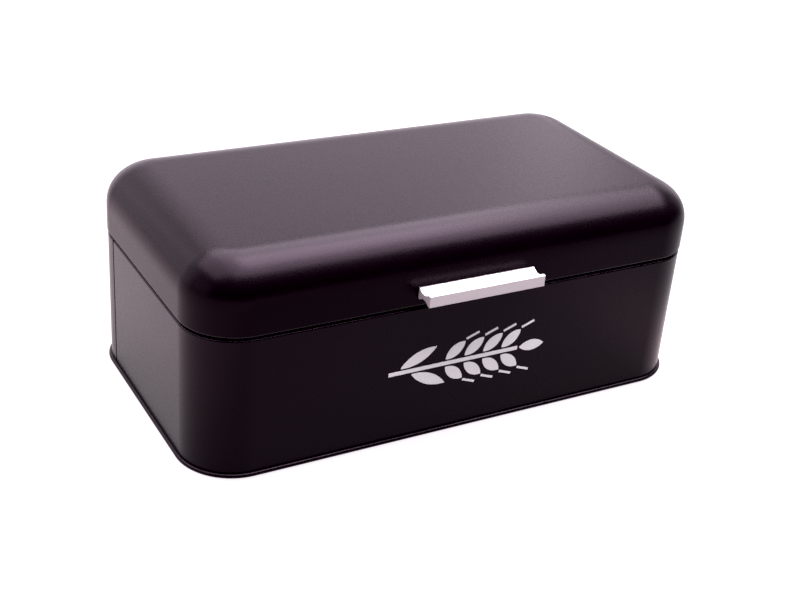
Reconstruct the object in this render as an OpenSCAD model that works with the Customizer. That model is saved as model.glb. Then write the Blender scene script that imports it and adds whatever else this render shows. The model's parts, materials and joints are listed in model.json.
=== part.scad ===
// Bread bin with a lift-up lid, pressed and folded from painted sheet steel.
// X runs along the width, the handle is at the front (-Y), Z points up from the worktop.
// The origin is on the worktop, under the middle of the whole bin with its handle.

/* [Bin] */
// Width across the base hem
bin_w = 425; // [330:1:520]
// Depth across the base hem
bin_d = 230; // [180:1:300]
// Height from the base hem's lower edge to the middle of the gap under the lid
body_h = 109.7; // [80:0.1:180]
// Height from the middle of the gap to the top of the lid
lid_h = 52.5; // [42:0.5:90]
// Plan radius of the body's upright corners
corner_r = 40.5; // [28:0.5:60]
// Thickness of the steel sheet
sheet = 0.8; // [0.6:0.05:1.0]

/* [Lid] */
// Radius of the lower half of the lid's rounded top edge
shoulder_r = 27; // [12:0.5:34]
// Radius of the upper half of the lid's rounded top edge
crown_r = 36; // [14:0.5:52]
// How far the lid's skirt stands out beyond the body's wall
lid_over = 0.5; // [0.2:0.1:1.2]
// Width of the flange turned in at the lid's lower edge
lid_flange = 6; // [4:0.5:6.5]
// Opening angle of the lid in degrees
open_deg = 100; // [92:1:115]

/* [Rim] */
// Gap between the body's top and the lid's lower edge
gap = 2; // [1.6:0.1:3.6]
// Outer bend radius at the body's top edge and the lid's lower edge
rim_r = 1.5; // [1.2:0.1:2]
// Distance from the body's outer face to the neck
ledge = 8; // [7.5:0.5:14]
// Height of the neck above the body's top
neck_h = 7; // [5:0.5:12]
// Height of the fold at the top of the neck
neck_fold = 4; // [2:0.5:5]

/* [Base] */
// How far the base hem stands out from the body's wall
hem_out = 2.3; // [1.8:0.1:3]
// Outer radius of the rolled hem
hem_r = 1.7; // [1.5:0.05:2.2]
// Height of the floor's upper face above the hem's lower edge
floor_up = 5; // [4.5:0.5:10]
// Width of the floor's lower border round the raised field
floor_border = 24; // [20:1:40]
// How far the floor's field is raised above its border
field_up = 1.2; // [0.9:0.1:2.5]
// Distance of the upright wall joints ahead of the rear corners
joint_ahead = 6; // [4:0.5:20]
// Width of the groove at each wall joint
joint_groove = 1.6; // [0.6:0.1:2]
// How far the back wall laps behind the front wall
joint_lap = 9; // [6:0.5:14]

/* [Feet and bumpers] */
// Radius of a foot
foot_r = 7; // [5:0.5:8.5]
// How far a foot stands below the hem
foot_down = 1; // [0.5:0.1:4]
// Radius of a lid bumper
bumper_r = 1.9; // [1.5:0.1:2.2]
// Distance of a lid bumper from the start of the front corner
bumper_side = 19.7; // [4:0.1:60]

/* [Hinges] */
// Distance of a hinge's middle from the start of the rear corner
hinge_side = 44.7; // [26:0.1:48]
// Width of a hinge
hinge_w = 30; // [22:1:45]
// Outer radius of a knuckle
knuckle_r = 2.4; // [1.9:0.1:3]
// Radius of a hinge pin
pin_r = 1.1; // [0.9:0.05:1.4]
// Radial clearance of the pin in the turning knuckle
pin_play = 0.05; // [0.02:0.01:0.1]
// Thickness of a hinge leaf
leaf_t = 0.9; // [0.7:0.05:1.1]
// Length of a leaf from the pin's axis
leaf_l = 18; // [15:0.5:19]
// Distance between the two rivets of a leaf
rivet_pitch = 17; // [12:0.5:20]
// Radius of a rivet's shank
rivet_r = 1.5; // [1:0.1:2]

/* [Handle] */
// Length of the handle
handle_l = 96; // [80:1:180]
// How far the handle stands out from the lid
handle_out = 16; // [12:0.5:24]
// Height of the handle's section
handle_h = 8.8; // [7:0.1:12]
// Thickness of the web between the coves
handle_web = 3.9; // [3.8:0.1:5.5]
// Thickness of the flange against the lid
handle_back = 1.4; // [1:0.1:3]
// Thickness of the grip's front lip
handle_lip = 2.8; // [2:0.1:4]
// Height of the handle's middle above the lid's lower edge
handle_up = 10.6; // [8:0.1:14]
// Distance between the two handle screws
screw_pitch = 64; // [40:1:66]
// Radius of a handle screw's shank
screw_r = 1.5; // [1.25:0.05:1.6]
// Depth of the screw holes in the handle
screw_in = 10; // [6:0.5:10]
// Radius of a washer
washer_r = 4.5; // [3.5:0.1:4.8]

/* [Vents] */
// Number of vent holes in the back wall
vent_n = 9; // [1:1:15]
// Radius of a vent hole
vent_r = 2.2; // [1:0.1:4]
// Distance from one vent hole to the next
vent_pitch = 12; // [9:0.5:14]
// Distance of the vent holes below the body's top
vent_down = 24; // [16:1:40]

/* [Print] */
// Length of the printed ear of wheat
print_l = 134; // [100:1:180]
// Height of the print's middle above the hem's lower edge
print_up = 58; // [45:0.5:80]
// Thickness of the ink
ink_t = 0.1; // [0.05:0.05:0.3]

/* [Hidden] */
$fn = 96;
big = 1000;

// Places worked out from angles or halves keep whole thousandths, so that neighbours meet exactly
function mm(x) = round(1000 * x) / 1000;

// Outline of the body's wall, which every ring is swept round
half_w = mm(bin_w / 2 - hem_out);
half_d = mm(bin_d / 2 - hem_out);
back_y = half_d;
front_y = -half_d;
body_top = body_h - gap / 2;
lid_low = body_h + gap / 2;
lid_top = body_h + lid_h;

// Rounded top edge of the lid: two arcs that meet at 45 degrees, kept inside the plan corner
// and above the flat stretch of skirt that the handle and the hinge leaves sit on
lid_r = corner_r + lid_over;
round_in = shoulder_r * (1 - cos(45)) + crown_r * cos(45);
round_up = shoulder_r * sin(45) + crown_r * (1 - sin(45));
handle_z = lid_low + handle_up;
flat_top = max(handle_z + handle_h / 2, body_h + leaf_l) + 1;
round_k = min(1, (lid_r - 2) / round_in, (lid_top - flat_top) / round_up);
low_r = mm(round_k * shoulder_r);
top_r = mm(round_k * crown_r);
arc_step = mm((low_r - top_r) * cos(45));
round_z = lid_top - top_r - arc_step;
flat_in = -(lid_over - low_r + arc_step);

// Hinge line: level with the middle of the gap, and so far inside the back wall's outer face
// that the lid's lower edge meets that face stop_play degrees past the opening angle
stop_play = 2;
stop_deg = open_deg + stop_play;
hinge_in = mm((gap / 2 * sin(stop_deg) + lid_over * cos(stop_deg)) / (1 - cos(stop_deg)));
hinge_y = back_y - hinge_in;
hinge_z = body_h;
hinge_x = half_w - corner_r - hinge_side;
notch_play = 0.4;
notch_up = max(knuckle_r + notch_play, gap / 2 + rim_r + 0.1);
notch_w = hinge_w + 4 * notch_play;
knuckle_play = 0.3;
leaf_gap = knuckle_r + notch_play;
pin_head = 0.5;
rivet_up = (leaf_gap + leaf_l) / 2 + 1.5;
rivet_play = 0.05;
body_leaf_y = back_y - sheet - leaf_t;
lid_leaf_y = back_y + lid_over - sheet - leaf_t;

// The collar's shoulder starts inboard of the hinge notches
bend_in = 0.6;
shoulder_x = -(hinge_in + knuckle_r + notch_play);

// Feet stand in the corners of the floor's border
foot_at = mm((corner_r - sheet - (floor_border + sheet) / 2) * cos(45));
foot_x = half_w - corner_r + foot_at;
foot_y = half_d - corner_r + foot_at;
foot_h = foot_down + floor_up - sheet;
bumper_play = 0.3;
bumper_x = half_w - corner_r - bumper_side;
bumper_y = front_y + min(lid_flange - 1, ledge - bend_in - bumper_r);

// Handle and its screws
lid_front = front_y - lid_over;
cove_l = handle_out - handle_back - handle_lip;
cove_h = (handle_h - handle_web) / 2;
cove_r = (cove_l * cove_l / 4 + cove_h * cove_h) / (2 * cove_h);
lip_round = 0.5;
washer_t = 0.8;
screw_play = 0.2;
screw_head_r = 2.9;
screw_head_h = 2.2;

// Walls
joint_y = back_y - corner_r - joint_ahead;
lap_low = floor_up + 0.2;
lap_top = body_top - 2 * sheet - 0.1;

// Print: an ear of wheat, whose proportions follow its length
grain_n = 4;
grain_l = 0.15 * print_l;
grain_w = 0.45 * grain_l;
grain_deg = 38;
grain_pitch = 1.1 * grain_w / sin(grain_deg);
stalk_w = 0.024 * print_l;
grain_off = stalk_w;
awn_l = 0.085 * print_l;
awn_w = 0.6 * stalk_w;
awn_deg = 18;
blade_l = 1.6 * grain_l;
blade_deg = 24;
tip_l = 1.1 * grain_l;
ear_l = grain_n * grain_pitch + tip_l;
ear_x = print_l / 2 - ear_l;

// The middle of the bin with its handle is over the origin, and the feet stand on z = 0
mid_y = mm((handle_out + lid_over - hem_out) / 2);
module stand() translate([0, mid_y, foot_down]) children();

// Section helpers: x runs outwards from the body's outer face, y is the height

module bar(x0, x1, y0, y1) translate([x0, y0]) square([x1 - x0, y1 - y0]);

// Quarter of a bend about (x, y), starting at angle a
module bend(x, y, r_in, a)
    translate([x, y]) rotate(a) intersection() {
        difference() {
            circle(r_in + sheet);
            if (r_in > 0) circle(r_in);
        }
        square(r_in + sheet);
    }

// Eighth of a large bend about (x, y), of outer radius r, starting at angle a
module arc45(x, y, r, a)
    translate([x, y]) rotate(a) intersection() {
        difference() {
            circle(r);
            circle(r - sheet);
        }
        polygon([[0, 0], [2 * r, 0], [2 * r, 2 * r]]);
    }

// Sweep helpers: a section goes round the body's outline

module side(len) rotate([90, 0, 0]) linear_extrude(len, center = true) children();

module around() {
    corner_x = half_w - corner_r;
    corner_y = half_d - corner_r;
    for (i = [0:3]) {
        sx = (i == 0 || i == 3) ? 1 : -1;
        sy = i < 2 ? 1 : -1;
        translate([sx * corner_x, sy * corner_y, 0]) rotate(90 * i)
            rotate_extrude(angle = 90) translate([corner_r, 0]) children();
    }
    for (a = [0, 180]) rotate(a) translate([half_w, 0, 0]) side(2 * corner_y) children();
    for (a = [90, 270]) rotate(a) translate([half_d, 0, 0]) side(2 * corner_x) children();
}

// Rounded rectangle that lies the given distance inside the body's outline
module plan(inset) {
    corner_x = half_w - corner_r;
    corner_y = half_d - corner_r;
    square(2 * [corner_x, half_d - inset], center = true);
    square(2 * [half_w - inset, corner_y], center = true);
    for (x = [-1, 1], y = [-1, 1]) translate([x * corner_x, y * corner_y]) circle(corner_r - inset);
}

module plate(inset, z) translate([0, 0, z]) linear_extrude(sheet) plan(inset);

// Half-spaces in front of and behind a plane across the bin
module ahead_of(y) translate([-big / 2, y - big, -big / 2]) cube(big);
module behind(y) translate([-big / 2, y, -big / 2]) cube(big);

// Low dome on z = 0
module dome(r, h) {
    ball_r = (r * r + h * h) / (2 * h);
    rotate_extrude() intersection() {
        translate([0, h - ball_r]) circle(ball_r);
        square([r, h]);
    }
}

// Body

module base_section() {
    bar(-sheet, hem_out - hem_r, 0, sheet);
    bend(-sheet, sheet, 0, 180);
    bar(-2 * sheet, -sheet, sheet, floor_up - sheet);
    bend(-2 * sheet, floor_up - sheet, 0, 0);
    bar(-floor_border, -2 * sheet, floor_up - sheet, floor_up);
    bar(-floor_border - sheet, -floor_border, floor_up - sheet, floor_up + field_up);
    for (a = [270, 0]) bend(hem_out - hem_r, hem_r, hem_r - sheet, a);
    bar(0, hem_out - hem_r, 2 * hem_r - sheet, 2 * hem_r);
}

module base_pan() color("#1b1719") stand() {
    around() base_section();
    plate(floor_border + sheet, floor_up + field_up - sheet);
}

// Wall with a foot flange in the hem and a ledge turned in at the top
module wall_section() {
    bar(-sheet, hem_out - hem_r, sheet, 2 * sheet);
    bar(-sheet, 0, 2 * sheet, body_top - rim_r);
    bend(-rim_r, body_top - rim_r, rim_r - sheet, 0);
    bar(bend_in - ledge, -rim_r, body_top - sheet, body_top);
}

module front_wall() color("#1b1719") stand() intersection() {
    around() wall_section();
    ahead_of(joint_y - joint_groove / 2);
}

// Slots for the knuckles, cut from the given distance inboard of the body's outer face
module hinge_notches(inset) {
    for (x = [-1, 1] * hinge_x)
        translate([x - notch_w / 2, back_y - inset, hinge_z - notch_up])
            cube([notch_w, big, 2 * notch_up]);
}

module rivet_holes(z) {
    for (x = [-1, 1] * hinge_x, dx = [-1, 1] * rivet_pitch / 2)
        translate([x + dx, 0, z]) rotate([-90, 0, 0]) cylinder(h = big, r = rivet_r + rivet_play);
}

module back_wall() color("#1b1719") stand() difference() {
    union() {
        intersection() {
            around() wall_section();
            behind(joint_y + joint_groove / 2);
        }
        for (s = [-1, 1])
            translate([s * (half_w - 1.5 * sheet) - sheet / 2, joint_y - joint_lap, lap_low])
                cube([sheet, joint_lap + joint_ahead, lap_top - lap_low]);
    }
    hinge_notches(-shoulder_x);
    rivet_holes(hinge_z - rivet_up);
    for (i = [0:vent_n - 1])
        translate([(i - (vent_n - 1) / 2) * vent_pitch, 0, body_top - vent_down])
            rotate([-90, 0, 0]) cylinder(h = big, r = vent_r);
}

module collar_section() {
    bar(bend_in - ledge, shoulder_x, body_top - 2 * sheet, body_top - sheet);
    bend(bend_in - ledge, body_top - sheet + bend_in, bend_in, 180);
    bar(-ledge - sheet, -ledge, body_top - sheet + bend_in, body_top + neck_h - sheet);
    for (a = [0, 90]) bend(-ledge - sheet, body_top + neck_h - sheet, 0, a);
    bar(-ledge - 2 * sheet, -ledge - sheet, body_top + neck_h - neck_fold, body_top + neck_h - sheet);
}

module rim_collar() color("#211d1f") stand() around() collar_section();

module foot(sx, sy) color("#2b2b2d") stand()
    translate([sx * foot_x, sy * foot_y, -foot_down]) rotate_extrude()
        polygon([[0, 0], [foot_r - 1, 0], [foot_r, 1], [foot_r, foot_h], [0, foot_h]]);

module bumper(sx) color("#2b2b2d") stand()
    translate([sx * bumper_x, bumper_y, body_top]) dome(bumper_r, gap - bumper_play);

// Pointed oval of length l and width w, from the origin along x
module grain(l, w) {
    r = (l * l + w * w) / (4 * w);
    intersection_for(s = [-1, 1]) translate([l / 2, s * (r - w / 2)]) circle(r);
}

// One side of the ear: grains with awns that slant away from the stalk, and a blade lower down
module ear_side(blade_x) {
    for (i = [0:grain_n - 1])
        translate([ear_x + i * grain_pitch, grain_off]) rotate(grain_deg) {
            grain(grain_l, grain_w);
            translate([1.06 * grain_l, 0]) rotate(-awn_deg) bar(0, awn_l, 0, awn_w);
        }
    translate([blade_x, grain_off]) rotate(blade_deg) grain(blade_l, grain_w);
}

module wheat() {
    bar(-print_l / 2, ear_x + (grain_n - 0.1) * grain_pitch, -stalk_w / 2, stalk_w / 2);
    ear_side(-0.43 * print_l);
    mirror([0, 1]) ear_side(-0.36 * print_l);
    translate([print_l / 2 - tip_l, 0]) grain(tip_l, grain_w);
}

module front_print() color("#cdc8d0") stand()
    translate([0, front_y, print_up]) rotate([90, 0, 0]) linear_extrude(ink_t) wheat();

// Lid

module lid_section() {
    bar(lid_over - lid_flange, lid_over - rim_r, lid_low, lid_low + sheet);
    bend(lid_over - rim_r, lid_low + rim_r, rim_r - sheet, 270);
    bar(lid_over - sheet, lid_over, lid_low + rim_r, round_z);
    arc45(lid_over - low_r, round_z, low_r, 0);
    arc45(arc_step + lid_over - low_r, round_z + arc_step, top_r, 45);
}

module lid_shell() color("#1e1a1c") stand() difference() {
    union() {
        around() lid_section();
        plate(flat_in, lid_top - sheet);
    }
    hinge_notches(ledge);
    rivet_holes(hinge_z + rivet_up);
    for (x = [-1, 1] * screw_pitch / 2)
        translate([x, 0, handle_z]) rotate([90, 0, 0]) cylinder(h = big, r = screw_r + screw_play);
}

// Section of the handle: x runs outwards from the lid, y is the height from its middle
module handle_section() difference() {
    union() {
        translate([0, -handle_h / 2]) square([handle_out - lip_round, handle_h]);
        translate([0, lip_round - handle_h / 2]) square([handle_out, handle_h - 2 * lip_round]);
        for (s = [-1, 1])
            translate([handle_out - lip_round, s * (handle_h / 2 - lip_round)]) circle(lip_round);
    }
    for (s = [-1, 1])
        translate([handle_back + cove_l / 2, s * (handle_web / 2 + cove_r)]) circle(cove_r);
}

module handle() color("#d9d9db") stand() translate([0, lid_front, handle_z]) difference() {
    rotate([90, 0, -90]) linear_extrude(handle_l, center = true) handle_section();
    for (x = [-1, 1] * screw_pitch / 2)
        translate([x, 1, 0]) rotate([90, 0, 0]) cylinder(h = screw_in + 1, r = screw_r);
}

// Places what is drawn along z from the lid's inner face, pointing out of the front
module at_screw(sx)
    stand() translate([sx * screw_pitch / 2, lid_front + sheet, handle_z]) rotate([90, 0, 0]) children();

module handle_washer(sx) color("#b9bbbe") at_screw(sx) translate([0, 0, -washer_t]) difference() {
    cylinder(h = washer_t, r = washer_r);
    translate([0, 0, -1]) cylinder(h = washer_t + 2, r = screw_r + screw_play);
}

module handle_screw(sx) color("#b9bbbe") at_screw(sx) translate([0, 0, -washer_t]) difference() {
    union() {
        cylinder(h = washer_t + sheet + screw_in - 1, r = screw_r);
        mirror([0, 0, 1]) dome(screw_head_r, screw_head_h);
    }
    for (a = [45, 135]) rotate(a) translate([-1.6, -0.3, -screw_head_h]) cube([3.2, 0.6, 1.2]);
}

// Hinges

module at_hinge(sx) stand() translate([sx * hinge_x, 0, hinge_z]) children();

module rod(r, len) rotate([0, 90, 0]) cylinder(h = len, r = r, center = true);

third = hinge_w / 3;

// One hinge leaf on the inner face of its sheet, with its knuckles at the given places.
// It is drawn hanging down from the hinge line, and up is 1 for a leaf that stands up instead.
module leaf(y, up, places, len, bore) difference() {
    union() {
        mirror([0, 0, up]) translate([-hinge_w / 2, y, -leaf_l])
            cube([hinge_w, leaf_t, leaf_l - leaf_gap]);
        for (x = places) {
            mirror([0, 0, up]) translate([x - len / 2, y, -leaf_gap]) cube([len, leaf_t, leaf_gap]);
            translate([x, hinge_y, 0]) rod(knuckle_r, len);
        }
    }
    translate([0, hinge_y, 0]) rod(bore, big);
    for (dx = [-1, 1] * rivet_pitch / 2)
        translate([dx, y, up ? rivet_up : -rivet_up]) rotate([90, 0, 0])
            cylinder(h = 4 * leaf_t, r = rivet_r + rivet_play, center = true);
}

module body_leaf(sx) color("#8f9194") at_hinge(sx)
    leaf(body_leaf_y, 0, [-third, third], third, pin_r);

module lid_leaf(sx) color("#8f9194") at_hinge(sx)
    leaf(lid_leaf_y, 1, [0], third - 2 * knuckle_play, pin_r + pin_play);

module hinge_pin(sx) color("#a9abad") at_hinge(sx) translate([0, hinge_y, 0]) {
    rod(pin_r, hinge_w);
    for (s = [-1, 1]) translate([s * (hinge_w + pin_head) / 2, 0, 0]) rod(pin_r + 0.5, pin_head);
}

// The two rivets of a leaf: y is the outer face of the sheet that they pass through
module rivets(sx, y, z) color("#a9abad") at_hinge(sx)
    for (dx = [-1, 1] * rivet_pitch / 2) translate([dx, y, z]) rotate([-90, 0, 0]) {
        dome(1.8 * rivet_r, 0.8 * rivet_r);
        translate([0, 0, -sheet - leaf_t]) cylinder(h = sheet + leaf_t, r = rivet_r);
        translate([0, 0, -sheet - leaf_t - rivet_r / 2]) cylinder(h = rivet_r / 2, r = 1.5 * rivet_r);
    }

module body_rivets(sx) rivets(sx, back_y, -rivet_up);

module lid_rivets(sx) rivets(sx, back_y + lid_over, rivet_up);

base_pan();
front_wall();
back_wall();
rim_collar();
foot(-1, -1);  // foot_front_left
foot(1, -1);  // foot_front_right
foot(-1, 1);  // foot_rear_left
foot(1, 1);  // foot_rear_right
bumper(-1);  // lid_bumper_left
bumper(1);  // lid_bumper_right
body_leaf(-1);  // body_leaf_left
body_leaf(1);  // body_leaf_right
hinge_pin(-1);  // hinge_pin_left
hinge_pin(1);  // hinge_pin_right
body_rivets(-1);  // body_rivets_left
body_rivets(1);  // body_rivets_right
front_print();
lid_shell();
handle();
handle_screw(-1);  // handle_screw_left
handle_screw(1);  // handle_screw_right
handle_washer(-1);  // handle_washer_left
handle_washer(1);  // handle_washer_right
lid_leaf(-1);  // lid_leaf_left
lid_leaf(1);  // lid_leaf_right
lid_rivets(-1);  // lid_rivets_left
lid_rivets(1);  // lid_rivets_right
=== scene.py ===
# %% [markdown]
# # A steel bread bin, finished in Blender
# The bin is a folded and pressed steel box under a black powder coat, with a deep-drawn lid on two
# rear hinges and a satin aluminium grip. The design model already has every piece at its real size,
# so this file starts from it, gives it finishes, and rebuilds the large sheet pieces as clean
# meshes, because a soft highlight shows every flaw in a curved sheet.

# %% Load the design model
import bmesh
import bpy
import json
from math import cos, pi, radians, sin
from mathutils import Matrix, Vector


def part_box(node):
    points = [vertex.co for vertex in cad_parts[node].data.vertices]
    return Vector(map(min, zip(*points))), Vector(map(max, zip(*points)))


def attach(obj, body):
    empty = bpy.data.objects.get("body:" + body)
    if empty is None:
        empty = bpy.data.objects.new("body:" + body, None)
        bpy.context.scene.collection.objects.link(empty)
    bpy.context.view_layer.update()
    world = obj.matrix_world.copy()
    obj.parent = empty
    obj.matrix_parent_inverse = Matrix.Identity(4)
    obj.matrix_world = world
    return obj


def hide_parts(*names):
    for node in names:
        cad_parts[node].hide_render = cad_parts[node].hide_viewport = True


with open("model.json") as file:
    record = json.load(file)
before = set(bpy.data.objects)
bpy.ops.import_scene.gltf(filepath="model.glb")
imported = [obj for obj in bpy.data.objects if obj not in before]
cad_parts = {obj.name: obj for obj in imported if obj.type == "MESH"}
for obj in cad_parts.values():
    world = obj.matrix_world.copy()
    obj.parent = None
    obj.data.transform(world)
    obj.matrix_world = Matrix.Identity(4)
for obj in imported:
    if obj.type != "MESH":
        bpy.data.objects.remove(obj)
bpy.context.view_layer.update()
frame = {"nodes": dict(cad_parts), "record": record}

# %% [markdown]
# ## The camera
# A product camera is described by where it stands around the object, how long its lens is and how
# far away it is. Writing those down, and working the position out from them, keeps the view easy to
# read and to change. The small roll is a hand-held camera's lean.

# %% Stand the camera up
AZIMUTH, ELEVATION, ROLL = radians(-30.90), radians(27.37), radians(4.66)
DISTANCE = 1.0398
LENS = 58.75
AIM_HEIGHT = 0.0803
AIM_RIGHT, AIM_DOWN = 0.0022, 0.0249

lid_low, lid_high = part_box("lid_shell")
body_middle = Vector((0, (lid_low.y + lid_high.y) / 2, 0))
back = Vector((sin(AZIMUTH) * cos(ELEVATION), -cos(AZIMUTH) * cos(ELEVATION), sin(ELEVATION)))
level = Vector((cos(AZIMUTH), sin(AZIMUTH), 0))
right = Matrix.Rotation(ROLL, 3, back) @ level
up = back.cross(right)
aim = body_middle + Vector((0, 0, AIM_HEIGHT))
aim += AIM_RIGHT * right - AIM_DOWN * up

camera = bpy.data.objects.new("camera", bpy.data.cameras.new("camera"))
camera.data.lens = LENS
camera.data.clip_end = 20
bpy.context.scene.collection.objects.link(camera)
turn = Matrix((right, up, back)).transposed().to_4x4()
camera.matrix_world = Matrix.Translation(aim + DISTANCE * back) @ turn
bpy.context.scene.camera = camera
print("camera at", tuple(round(v, 3) for v in camera.matrix_world.translation))

# %% [markdown]
# ## The studio
# A black box is lit by what it reflects, so each light here is placed by what mirrors it. A wide
# soft ceiling behind the bin turns the lid's top grey and draws the soft band along its front
# shoulder, where a smaller, brighter core lies just off the middle. Low panels at the back and
# sides fill the lid's rear edge and ends, and one more at the back right lifts the lid's far end.
# The camera's side of the room stays dark, so the front stays black. The real paint has a faint
# rose cast, and the lights carry a part of it. Last, the view's black level is raised a little,
# which sinks the deepest tones as a camera does.

# %% Lights
SOFT_ROSE = (1.0, 0.86, 0.99)
ROOM_TONE = (1.0, 0.95, 0.98, 1)
ROOM_STRENGTH = 0.05
BLACK_LEVEL = (0.0036, 0.0044, 0.0038)


def softbox(name, place, size, radiance, look_at=None):
    """Adds a rectangular light of the given brightness that faces down, or faces a point."""
    data = bpy.data.lights.new(name, "AREA")
    data.shape = "RECTANGLE"
    data.size, data.size_y = size
    data.energy = radiance * pi * size[0] * size[1]
    data.color = SOFT_ROSE
    light = bpy.data.objects.new(name, data)
    light.matrix_world = Matrix.Translation(place)
    if look_at:
        aim_back = Vector(place) - Vector(look_at)
        light.matrix_world @= aim_back.to_track_quat("Z", "Y").to_matrix().to_4x4()
    bpy.context.scene.collection.objects.link(light)


bin_middle = (0, 0, 0.1)
softbox("ceiling", (0.72, 0.55, 2.0), (2.44, 3.1), 19.4)
softbox("ceiling_core", (0.63, 0.22, 1.95), (1.14, 1.0), 22.0)
softbox("ceiling_left", (-1.1, 0.6, 1.98), (1.2, 2.4), 12.5)
softbox("back_panel", (0.3, 2.4, 0.95), (3.4, 2.0), 2.65, bin_middle)
softbox("back_right_panel", (2.75, 2.0, 1.05), (2.0, 2.4), 1.6, bin_middle)
softbox("back_left_panel", (-1.7, 1.5, 0.9), (1.8, 1.6), 2.9, bin_middle)
softbox("right_panel", (2.3, 0.8, 0.7), (1.6, 1.2), 1.0, bin_middle)
softbox("left_panel", (-2.2, -0.1, 0.8), (1.4, 1.2), 1.7, bin_middle)

world = bpy.data.worlds.new("studio")
bpy.context.scene.world = world
world.use_nodes = True
room = world.node_tree.nodes["Background"]
room.inputs["Color"].default_value = ROOM_TONE
room.inputs["Strength"].default_value = ROOM_STRENGTH
view = bpy.context.scene.view_settings
view.view_transform = "Standard"
view.use_curve_mapping = True
view.curve_mapping.black_level = BLACK_LEVEL
view.curve_mapping.update()

# %% [markdown]
# ## Writing shaders as sums
# A finish is a few sums on textures. Node links are hard to read as code, so one small class wraps
# a socket and overloads the operators: `0.4 + 0.1 * grain` then adds its own Math nodes.

# %% A socket that does maths
MIX_FIRST, MIX_SECOND, MIX_RESULT = 6, 7, 2  # the colour sockets of a Mix node


class Value:
    """A number that varies over a surface: one output socket of a shader node."""

    def __init__(self, finish, socket):
        self.finish = finish
        self.socket = socket

    def maths(self, operation, first, second):
        return self.finish.node("ShaderNodeMath", {"operation": operation}, {0: first, 1: second})

    def __add__(self, other):
        return self.maths("ADD", self, other)

    def __radd__(self, other):
        return self.maths("ADD", other, self)

    def __rsub__(self, other):
        return self.maths("SUBTRACT", other, self)

    def __mul__(self, other):
        return self.maths("MULTIPLY", self, other)

    def __rmul__(self, other):
        return self.maths("MULTIPLY", other, self)


class Finish:
    """A material on the Principled shader: constants go on its sockets, values are linked."""

    def __init__(self, name, constants):
        self.material = bpy.data.materials.new(name)
        self.material.use_nodes = True
        self.tree = self.material.node_tree
        self.shader = self.tree.nodes["Principled BSDF"]
        for socket, value in constants.items():
            self.shader.inputs[socket].default_value = value

    def node(self, kind, settings=None, inputs=None, output=0):
        """Adds any node: its settings first, then the values or links of its sockets."""
        node = self.tree.nodes.new(kind)
        for name, value in (settings or {}).items():
            setattr(node, name, value)
        for socket, value in (inputs or {}).items():
            if isinstance(value, Value):
                self.tree.links.new(value.socket, node.inputs[socket])
            else:
                node.inputs[socket].default_value = value
        return Value(self, node.outputs[output])

    def place(self, stretch=(1, 1, 1)):
        """The point on the piece in metres, stretched along each axis."""
        point = self.node("ShaderNodeTexCoord", output="Object")
        settings = {"operation": "MULTIPLY"}
        return self.node("ShaderNodeVectorMath", settings, {0: point, 1: stretch})

    def noise(self, size, detail=3.0, stretch=(1, 1, 1)):
        """Cloudy noise from 0 to 1 whose lumps are about size metres across."""
        return self.node("ShaderNodeTexNoise", {}, {
            "Vector": self.place(stretch), "Scale": 1 / size, "Detail": detail, "Roughness": 0.55})

    def mask(self, value, start, stop):
        """0 where the value is below start, 1 where it is above stop."""
        return self.node("ShaderNodeMapRange", {"interpolation_type": "SMOOTHSTEP"}, {
            "Value": value, "From Min": start, "From Max": stop})

    def blend(self, amount, first, second):
        """A colour between two, by an amount from 0 to 1."""
        inputs = {0: amount, MIX_FIRST: first, MIX_SECOND: second}
        return self.node("ShaderNodeMix", {"data_type": "RGBA"}, inputs, MIX_RESULT)

    def bump(self, height, depth):
        """A surface relief of the given depth in metres."""
        inputs = {"Height": height, "Distance": depth, "Strength": 1.0}
        return self.node("ShaderNodeBump", {}, inputs)

    def feed(self, sockets):
        """Links values to the shader's own sockets."""
        for name, value in sockets.items():
            self.tree.links.new(value.socket, self.shader.inputs[name])


print("helpers ready")

# %% [markdown]
# ## Black powder coat
# The coat is sprayed as dry powder and baked, so it flows out almost flat: fine grains about a
# millimetre across, and a faint orange peel of several millimetres. It is nearly black, so its
# relief shows only in the reflections, which is why roughness and bump carry the finish. Round the
# lid's lower edge a painted highlight makes the bend a little paler.

# %% Powder coat
PAINT_TONE = (0.0012, 0.0008, 0.0011)
PAINT_TINT = (1.0, 0.8, 0.96, 1)
# The next tone is the paler colour of the painted highlight along the lid's lower bend.
EDGE_HIGHLIGHT_TONE = (0.03, 0.026, 0.028, 1)
BODY_SPECULAR, LID_SPECULAR = 0.078, 0.050
GRAIN, PEEL, CLOUD, DUST = 0.0013, 0.006, 0.05, 0.0011
COAT_RELIEF = 0.00009
# Heights above the lid's lower edge over which the painted highlight fades out.
HIGHLIGHT_START, HIGHLIGHT_STOP = 0.0006, 0.0014


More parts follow.
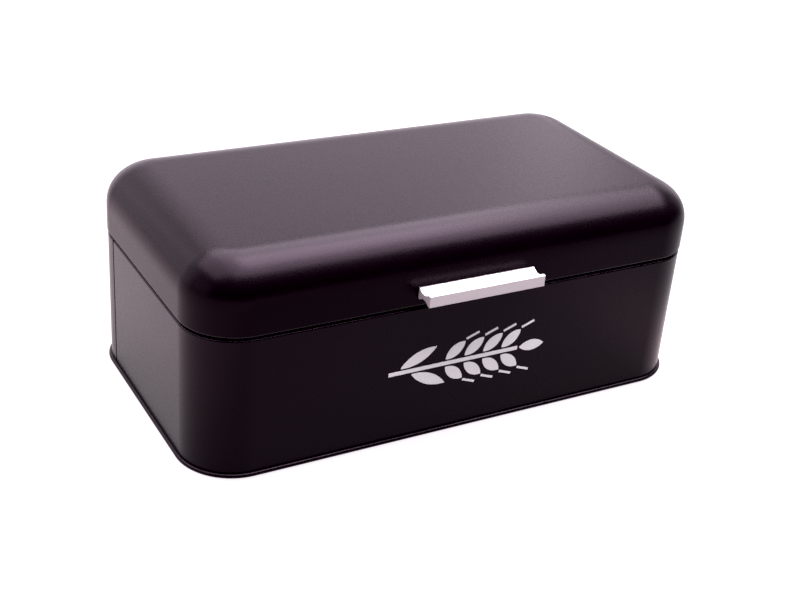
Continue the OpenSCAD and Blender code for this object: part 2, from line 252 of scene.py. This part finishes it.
def powder_coat(name, specular, highlight_edge_z=None):
    """The coat; if highlight_edge_z is given, the bend just above that height gets a paler painted
    highlight.
    """
    coat = Finish(name, {"Specular IOR Level": specular, "Specular Tint": PAINT_TINT})
    grain = coat.noise(GRAIN, 2.0)
    peel = coat.noise(PEEL, 2.0)
    cloud = coat.noise(CLOUD, 4.0)
    dust = coat.mask(coat.noise(DUST, 1.0), 0.70, 0.80)
    dark = (*PAINT_TONE, 1)
    pale = (*(2.2 * c for c in PAINT_TONE), 1)
    colour = coat.blend(0.25 * cloud + 0.20 * dust, dark, pale)
    # Painted highlight: the lid's lower bend is blended towards the paler tone.
    if highlight_edge_z is not None:
        height = coat.node("ShaderNodeSeparateXYZ", {}, {0: coat.place()}, 2)
        painted_highlight = 1 - coat.mask(height, highlight_edge_z + HIGHLIGHT_START, highlight_edge_z + HIGHLIGHT_STOP)
        colour = coat.blend(painted_highlight * (0.6 + 0.4 * cloud), colour, EDGE_HIGHLIGHT_TONE)
    coat.feed({
        "Base Color": colour,
        "Roughness": 0.21 + 0.04 * cloud + 0.10 * grain,
        "Normal": coat.bump(0.7 * grain + 0.3 * peel, COAT_RELIEF)})
    return coat.material


body_paint = powder_coat("body_paint", BODY_SPECULAR)
# The lid's coat carries the painted highlight on its lower bend.
lid_paint = powder_coat("lid_paint", LID_SPECULAR, lid_low.z)
print("coats", body_paint.name, lid_paint.name)

# %% [markdown]
# ## Satin aluminium
# The grip is cut from an extruded bar, brushed along its length and anodised. The brushing is noise
# stretched a hundred times along the bar, which turns lumps into scratches.

# %% Brushed aluminium
METAL_DARK, METAL_PALE = (0.37, 0.345, 0.35, 1), (0.45, 0.42, 0.425, 1)
ALONG_X = (0.01, 1, 1)


def brushed_aluminium():
    metal = Finish("handle_aluminium", {"Metallic": 0.6})
    scratches = metal.noise(0.0004, 3.0, ALONG_X)
    cloud = metal.noise(0.02, 2.0)
    metal.feed({
        "Base Color": metal.blend(scratches, METAL_DARK, METAL_PALE),
        "Roughness": 0.42 + 0.10 * scratches + 0.05 * cloud,
        "Normal": metal.bump(scratches, 0.00001)})
    return metal.material


handle_aluminium = brushed_aluminium()
print("metal", handle_aluminium.name)

# %% [markdown]
# ## The small pieces' finishes
# Hinges, fasteners, rubber and print share one recipe: a grain of their own size that shifts the
# tone, the roughness and the relief together. The lap behind the walls' joint takes the same
# recipe, darker and without reflection: painted shade in the groove.

# %% Other finishes
# Each row: tone, metallic, roughness, grain size and relief in metres.
SMALL_FINISHES = {
    "hinge_steel": ((0.03, 0.028, 0.03), 0.0, 0.4, 0.0008, 0.00003),
    "fastener_steel": ((0.34, 0.34, 0.35), 1.0, 0.35, 0.001, 0.00001),
    "rubber": ((0.006, 0.006, 0.0065), 0.0, 0.7, 0.0007, 0.00004),
    "print_ink": ((0.535, 0.545, 0.545), 0.0, 0.5, 0.0006, 0.00003),
}
# The lap's finish is painted shade for the groove: darker than the coat, with no reflection.
LAP_PAINTED_SHADE = ((0.0005, 0.0004, 0.0005), 0.0, 0.8, 0.0007, 0.00003)


def plain_finish(name, tone, metallic, rough, grain_size, depth, specular=0.5):
    finish = Finish(name, {"Metallic": metallic, "Specular IOR Level": specular})
    grain = finish.noise(grain_size, 3.0)
    dark = (*(0.85 * c for c in tone), 1)
    pale = (*(1.15 * c for c in tone), 1)
    finish.feed({
        "Base Color": finish.blend(grain, dark, pale),
        "Roughness": rough + 0.12 * grain,
        "Normal": finish.bump(grain, depth)})
    return finish.material


finishes = {
    "body_paint": body_paint, "lid_paint": lid_paint, "handle_aluminium": handle_aluminium}
for slot, values in SMALL_FINISHES.items():
    finishes[slot] = plain_finish(slot, *values)
# Painted shade for the groove behind the walls' joint.
lap_painted_shade = plain_finish("lap_painted_shade", *LAP_PAINTED_SHADE, specular=0.0)
print("finishes", ", ".join(finishes))

# %% [markdown]
# ## Sheet metal as a swept section
# The lid and the walls are all bent from one 0.8 mm sheet round the same rounded rectangle. So each
# is one section, drawn as distance outwards from the wall's outer face and height, carried round
# the corners. Holes and notches are cut out afterwards. Last, the sharp edges are kept sharp and
# the large faces are shaded flat, because paint mirrors any unevenness.

# %% Outline and section helpers
MM = 0.001
SHEET = 0.8 * MM
CORNER_R = 40.5 * MM
LID_OVER = 0.5 * MM
GAP = 2 * MM
RIM_R = 1.5 * MM
PAST = 0.01  # how far a cutter reaches beyond the face it opens
corner_x = lid_high.x - LID_OVER - CORNER_R
corner_y = (lid_high.y - lid_low.y) / 2 - LID_OVER - CORNER_R


def corner_stations(corner, steps=24):
    """Corner centre and outward direction at steps round one corner; corner 0 is rear right."""
    sx, sy = ((1, 1), (-1, 1), (-1, -1), (1, -1))[corner]
    centre = Vector((sx * corner_x, body_middle.y + sy * corner_y, 0))
    turns = [pi / 2 * (corner + i / steps) for i in range(steps + 1)]
    return [(centre, Vector((cos(a), sin(a), 0))) for a in turns]


def arc(x, z, radius, start, stop, steps):
    """Points of an arc in a section, with angles in degrees from outwards towards up."""
    angles = [radians(start + (stop - start) * i / steps) for i in range(steps + 1)]
    return [(x + radius * cos(a), z + radius * sin(a)) for a in angles]


def sweep(name, section, stations, ring):
    """Carries a section past the stations. A ring's section is open and its ends become plates;
    otherwise the section is a loop, and the two ends are capped."""
    mesh = bmesh.new()
    rows = [[mesh.verts.new(centre + (CORNER_R + x) * out + Vector((0, 0, z)))
             for x, z in section] for centre, out in stations]
    following = rows[1:] + rows[:1] if ring else rows[1:]
    count = len(section)
    for row, after in zip(rows, following):
        for i in range(count - 1 if ring else count):
            j = (i + 1) % count
            mesh.faces.new((row[i], row[j], after[j], after[i]))
    if ring:
        mesh.faces.new([row[0] for row in rows])
        mesh.faces.new([row[-1] for row in rows])
    else:
        mesh.faces.new(rows[0])
        mesh.faces.new(rows[-1])
    bmesh.ops.recalc_face_normals(mesh, faces=mesh.faces)
    return add_piece(name, mesh)


def add_piece(name, mesh):
    data = bpy.data.meshes.new(name)
    mesh.to_mesh(data)
    mesh.free()
    piece = bpy.data.objects.new(name, data)
    bpy.context.scene.collection.objects.link(piece)
    return piece


def apply_modifiers(piece):
    seen = piece.evaluated_get(bpy.context.evaluated_depsgraph_get())
    piece.data = bpy.data.meshes.new_from_object(seen)
    piece.modifiers.clear()


def box_cutter(mesh, low, high):
    middle = (Vector(low) + Vector(high)) / 2
    size = Vector(high) - Vector(low)
    place = Matrix.Translation(middle) @ Matrix.Diagonal((*size, 1))
    bmesh.ops.create_cube(mesh, size=1, matrix=place)


def hole_cutter(mesh, x, low_y, high_y, z, radius):
    """A round hole along y."""
    place = Matrix.Translation((x, (low_y + high_y) / 2, z)) @ Matrix.Rotation(pi / 2, 4, "X")
    bmesh.ops.create_cone(mesh, cap_ends=True, segments=48, radius1=radius, radius2=radius,
                          depth=high_y - low_y, matrix=place)


def cut(piece, cutters):
    """Takes the cutters away from the piece."""
    tool = add_piece("cutters", cutters)
    modifier = piece.modifiers.new("cut", "BOOLEAN")
    modifier.operation = "DIFFERENCE"
    modifier.solver = "EXACT"
    modifier.object = tool
    apply_modifiers(piece)
    bpy.data.objects.remove(tool)


def break_edges(piece, width, sharper_than):
    """Bevels every edge that turns by more than an angle in degrees."""
    modifier = piece.modifiers.new("broken edges", "BEVEL")
    modifier.width = width
    modifier.segments = 2
    modifier.limit_method = "ANGLE"
    modifier.angle_limit = radians(sharper_than)
    apply_modifiers(piece)


def shade(piece):
    """Keeps the sharp edges sharp, and shades each large face dead flat."""
    piece.data.shade_smooth()
    piece.data.set_sharp_from_angle(angle=radians(40))
    weighted = piece.modifiers.new("flat shading on large faces", "WEIGHTED_NORMAL")
    weighted.keep_sharp = True
    apply_modifiers(piece)


print("outline corners at", round(corner_x, 4), round(corner_y, 4))

# %% [markdown]
# ## Openings for the hinges
# Each hinge needs a notch for its knuckles, half in the lid and half in the wall, and two rivet
# holes in each. Both sheets take them from the same helper, so they always line up.

# %% Hinge openings
HINGE_Z = lid_low.z - GAP / 2
HINGE_X = corner_x - 44.7 * MM
NOTCH_HALF_W, NOTCH_HALF_H = 15.8 * MM, 2.8 * MM
RIVET_X, RIVET_UP, RIVET_R = 8.5 * MM, 11.9 * MM, 1.55 * MM


def hinge_cutters(mesh, notch_y, rivet_y, open_y, rivet_z):
    """Notches and rivet holes for both hinges, from the given depths out to open_y."""
    for x in (-HINGE_X, HINGE_X):
        box_cutter(mesh, (x - NOTCH_HALF_W, notch_y, HINGE_Z - NOTCH_HALF_H),
                   (x + NOTCH_HALF_W, open_y, HINGE_Z + NOTCH_HALF_H))
        for rivet_x in (x - RIVET_X, x + RIVET_X):
            hole_cutter(mesh, rivet_x, rivet_y, open_y, rivet_z, RIVET_R)


print("hinge line at height", round(HINGE_Z, 4), "hinges at", round(HINGE_X, 4), "either side")

# %% [markdown]
# ## The lid
# The lid is deep-drawn: its top flows into the skirt through a wide shoulder that tightens
# downwards. Where paint mirrors a soft light, a curve that starts abruptly shows as a line, so the
# bends ease in and out. The lower edge is turned in to a flange.

# %% Lid shell
LOWER_R, UPPER_R = 27 * MM, 36 * MM
EASE = 10 * MM
EASE_SAMPLES = 20
LID_FLANGE = 6 * MM
LID_NOTCH = 8 * MM
HANDLE_Z = lid_low.z + 10.6 * MM
SCREW_X, SCREW_HOLE_R = 32 * MM, 1.7 * MM


def lid_profile(step=0.5 * MM):
    """Points and headings up the lid's outer side and onto its flat top. The heading turns from
    upright to level, and averaging it over EASE lets every bend start and end gently."""
    skirt_low = lid_low.z + RIM_R
    bends = LOWER_R * sin(pi / 4) + UPPER_R * (1 - sin(pi / 4))
    skirt = lid_high.z - skirt_low - bends
    first, second = LOWER_R * pi / 4, UPPER_R * pi / 4

    def heading(reach):
        turned = min(max(reach - skirt, 0), first) / LOWER_R
        return turned + min(max(reach - skirt - first, 0), second) / UPPER_R

    x, z, points = LID_OVER, skirt_low, []
    for i in range(int((skirt + first + second + EASE / 2) / step) + 2):
        nearby = [heading(i * step + EASE * (k / EASE_SAMPLES - 0.5))
                  for k in range(EASE_SAMPLES + 1)]
        turn = sum(nearby) / len(nearby)
        points.append((x, z, turn))
        x -= step * sin(turn)
        z += step * cos(turn)
    scale = (lid_high.z - skirt_low) / (points[-1][1] - skirt_low)
    return [(x, skirt_low + (z - skirt_low) * scale, turn) for x, z, turn in points]


def lid_section():
    """The whole sheet of the lid, from the inner middle round the flange to the outer middle."""
    low = lid_low.z
    side = lid_profile()
    outer = arc(LID_OVER - RIM_R, low + RIM_R, RIM_R, 270, 360, 8)[:-1]
    outer += [(x, z) for x, z, turn in side]
    inner = [(x - SHEET * cos(turn), z - SHEET * sin(turn)) for x, z, turn in reversed(side)]
    inner += arc(LID_OVER - RIM_R, low + RIM_R, RIM_R - SHEET, 360, 270, 6)[1:]
    flange = LID_OVER - LID_FLANGE
    return inner + [(flange, low + SHEET), (flange, low)] + outer


every_station = [station for corner in range(4) for station in corner_stations(corner)]
lid = sweep("lid_shell_mesh", lid_section(), every_station, ring=True)

lid_cutters = bmesh.new()
hinge_cutters(lid_cutters, lid_high.y - LID_OVER - LID_NOTCH, lid_high.y - PAST,
              lid_high.y + PAST, HINGE_Z + RIVET_UP)
for screw_x in (-SCREW_X, SCREW_X):
    hole_cutter(lid_cutters, screw_x, lid_low.y - PAST, lid_low.y + PAST, HANDLE_Z, SCREW_HOLE_R)
cut(lid, lid_cutters)
shade(lid)
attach(lid, "lid")
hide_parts("lid_shell")
print("lid faces", len(lid.data.polygons))

# %% [markdown]
# ## The walls
# Two bent sheets make the walls, and the rear one laps behind the front one at each side. The
# groove between them shows because both cut edges are slightly broken, and the lap behind is
# painted dark and dull as the groove's shade.

# %% Wall helpers
wall_low, wall_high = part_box("front_wall")
JOINT_AHEAD = 6 * MM
JOINT_Y = body_middle.y + corner_y - JOINT_AHEAD
GROOVE = 1.6 * MM
EDGE_BREAK = 0.25 * MM
FOOT_OUT, LEDGE_IN = 0.6 * MM, 7.4 * MM


def wall_section():
    """Loop of the wall's sheet: a foot turned out, the wall, and a ledge turned in at the top."""
    low, top = wall_low.z, wall_high.z
    outer = arc(-RIM_R, top - RIM_R, RIM_R, 0, 90, 8)
    inner = arc(-RIM_R, top - RIM_R, RIM_R - SHEET, 90, 0, 6)
    return ([(FOOT_OUT, low), (FOOT_OUT, low + SHEET), (0, low + SHEET)] + outer
            + [(-LEDGE_IN, top), (-LEDGE_IN, top - SHEET)] + inner + [(-SHEET, low)])


def wall(name, corners, end_y):
    """A wall round two corners that ends at the same depth on both sides."""
    first = Vector((corner_x * (1 if corners[0] == 0 else -1), end_y, 0))
    last = Vector((-first.x, end_y, 0))
    stations = [(first, Vector((first.x, 0, 0)).normalized())]
    stations += corner_stations(corners[0]) + corner_stations(corners[1])
    stations += [(last, Vector((last.x, 0, 0)).normalized())]
    piece = sweep(name, wall_section(), stations, ring=False)
    break_edges(piece, EDGE_BREAK, 60)
    return piece


print("side joints at y", round(JOINT_Y, 4))

# %% Front and back walls
WALL_NOTCH = 3.524 * MM
WALL_HOLE = 4 * MM
VENT_PITCH, VENT_DOWN, VENT_R = 12 * MM, 24 * MM, 2.2 * MM
LAP_AHEAD, LAP_LOW_Z, LAP_DOWN = 9 * MM, 6.2 * MM, 1.7 * MM

front = wall("front_wall_mesh", (2, 3), JOINT_Y - GROOVE / 2)
shade(front)

rear = wall("back_wall_mesh", (0, 1), JOINT_Y + GROOVE / 2)
wall_back = wall_high.x - corner_x + body_middle.y + corner_y
rear_cutters = bmesh.new()
hinge_cutters(rear_cutters, wall_back - WALL_NOTCH, wall_back - WALL_HOLE, wall_back + PAST,
              HINGE_Z - RIVET_UP)
for vent in range(-4, 5):
    hole_cutter(rear_cutters, vent * VENT_PITCH, wall_back - WALL_HOLE, wall_back + PAST,
                wall_high.z - VENT_DOWN, VENT_R)
cut(rear, rear_cutters)
shade(rear)

lap_mesh = bmesh.new()
inner_x, outer_x = wall_high.x - 2 * SHEET, wall_high.x - SHEET
for low_x, high_x in ((-outer_x, -inner_x), (inner_x, outer_x)):
    box_cutter(lap_mesh, (low_x, JOINT_Y - LAP_AHEAD, LAP_LOW_Z),
               (high_x, JOINT_Y + JOINT_AHEAD, wall_high.z - LAP_DOWN))
laps = add_piece("wall_laps", lap_mesh)
shade(laps)
for piece in (front, rear, laps):
    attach(piece, "bin")
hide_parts("front_wall")
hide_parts("back_wall")
print("wall faces", len(front.data.polygons), len(rear.data.polygons))

# %% [markdown]
# ## The grip
# The grip is a length of extruded aluminium with a cove above and below for the fingertips. Its
# saw-cut ends and long edges are tumbled, and the narrow rounding catches the light as a fine line.

# %% Handle
HANDLE_L, HANDLE_OUT, HANDLE_H = 96 * MM, 16 * MM, 8.8 * MM
WEB, FLANGE_T, LIP_T = 3.9 * MM, 1.4 * MM, 2.8 * MM
LIP_R, TUMBLED = 0.5 * MM, 0.18 * MM
COVE_STEPS = 24
HANDLE_HOLE, HANDLE_HOLE_R = 10 * MM, 1.5 * MM


def handle_section():
    """Loop of (distance from the lid, height) round the grip's profile."""
    cove_l = HANDLE_OUT - FLANGE_T - LIP_T
    cove_h = (HANDLE_H - WEB) / 2
    radius = (cove_l ** 2 / 4 + cove_h ** 2) / (2 * cove_h)
    reach = cove_l / 2
    cove = []
    for i in range(COVE_STEPS + 1):
        along = -reach + 2 * reach * i / COVE_STEPS
        rise = radius - (radius ** 2 - along ** 2) ** 0.5
        cove.append((FLANGE_T + reach + along, WEB / 2 + rise))
    lip = arc(HANDLE_OUT - LIP_R, HANDLE_H / 2 - LIP_R, LIP_R, 90, 0, 5)
    upper = [(0, HANDLE_H / 2)] + cove + lip
    return upper + [(x, -z) for x, z in reversed(upper)]


handle_mesh = bmesh.new()
ends = [[handle_mesh.verts.new((x, lid_low.y - out, HANDLE_Z + z))
         for out, z in handle_section()] for x in (-HANDLE_L / 2, HANDLE_L / 2)]
count = len(ends[0])
for i in range(count):
    j = (i + 1) % count
    handle_mesh.faces.new((ends[0][i], ends[0][j], ends[1][j], ends[1][i]))
for end in ends:
    handle_mesh.faces.new(end)
bmesh.ops.recalc_face_normals(handle_mesh, faces=handle_mesh.faces)
grip = add_piece("handle_mesh", handle_mesh)
break_edges(grip, TUMBLED, 35)
shade(grip)
screw_holes = bmesh.new()
for screw_x in (-SCREW_X, SCREW_X):
    hole_cutter(screw_holes, screw_x, lid_low.y - HANDLE_HOLE, lid_low.y + PAST, HANDLE_Z,
                HANDLE_HOLE_R)
cut(grip, screw_holes)
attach(grip, "lid")
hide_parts("handle")
print("handle faces", len(grip.data.polygons))

# %% [markdown]
# ## The floor
# The bin stands on a white sheet lit from below, like a product table, so its shadow is faint. Its
# walls mirror that sheet, so where the sheet glows more they come out lighter. Three zones do: one
# to the left for the bin's left end, one beyond the front left corner, and a narrow one close by on
# the right for the far corner.

# %% Glowing floor
FLOOR_HALF = 6
floor_mesh = bpy.data.meshes.new("floor")
floor_mesh.from_pydata([(-FLOOR_HALF, -FLOOR_HALF, 0), (FLOOR_HALF, -FLOOR_HALF, 0),
                        (FLOOR_HALF, FLOOR_HALF, 0), (-FLOOR_HALF, FLOOR_HALF, 0)],
                       [], [(0, 1, 2, 3)])
floor = bpy.data.objects.new("floor", floor_mesh)
bpy.context.scene.collection.objects.link(floor)

TO_LEFT = (-1, 0.1, 0)
TO_FRONT_LEFT = (-0.75, -0.66, 0)
TO_RIGHT = (1, 0, 0)
TO_REAR = (0, 1, 0)
LEFT_ZONE, CORNER_ZONE = (0.16, 0.36), (0.34, 0.45)
RIGHT_ZONE_IN, RIGHT_ZONE_OUT, RIGHT_ZONE_REAR = (0.17, 0.24), (0.27, 0.37), (-0.30, -0.22)
SHEET_GLOW, ZONE_GLOW = (0.90, 0.86, 0.89, 1), (1.78, 1.42, 1.54, 1)
floor_finish = Finish("floor_sheet", {
    "Base Color": (0.06, 0.06, 0.06, 1), "Specular IOR Level": 0.0, "Emission Strength": 1.0})


def glow_towards(direction, start, stop):
    """0 nearer than start metres along a direction, 1 beyond stop."""
    inputs = {0: floor_finish.place(), 1: direction}
    reach = floor_finish.node("ShaderNodeVectorMath", {"operation": "DOT_PRODUCT"}, inputs, 1)
    return floor_finish.mask(reach, start, stop)


left_glow = glow_towards(TO_LEFT, *LEFT_ZONE)
corner_glow = glow_towards(TO_FRONT_LEFT, *CORNER_ZONE)
right_glow = glow_towards(TO_RIGHT, *RIGHT_ZONE_IN)
right_glow *= 1 - glow_towards(TO_RIGHT, *RIGHT_ZONE_OUT)
right_glow *= glow_towards(TO_REAR, *RIGHT_ZONE_REAR)
any_glow = 1 - (1 - left_glow) * (1 - corner_glow) * (1 - right_glow)
floor_finish.feed({
    "Emission Color": floor_finish.blend(any_glow, SHEET_GLOW, ZONE_GLOW),
    "Roughness": 0.8 + 0.1 * floor_finish.noise(0.02)})
floor_mesh.materials.append(floor_finish.material)
print("floor", 2 * FLOOR_HALF, "m wide")

# %% [markdown]
# ## Finishing
# Every piece of the design model takes the finish of its slot, and the new meshes take theirs. The
# laps ride with the walls, but they take the groove's painted shade.

# %% Give every piece its finish
for part in frame["record"]["subparts"]:
    node = frame["nodes"][part["node"]]
    node.data.materials.clear()
    node.data.materials.append(finishes[part["material_slot"]])
# The laps take the groove's painted shade.
for piece, finish in ((lid, lid_paint), (front, body_paint), (rear, body_paint),
                      (laps, lap_painted_shade), (grip, handle_aluminium)):
    piece.data.materials.clear()
    piece.data.materials.append(finish)
print("finished", len(frame["nodes"]), "nodes")
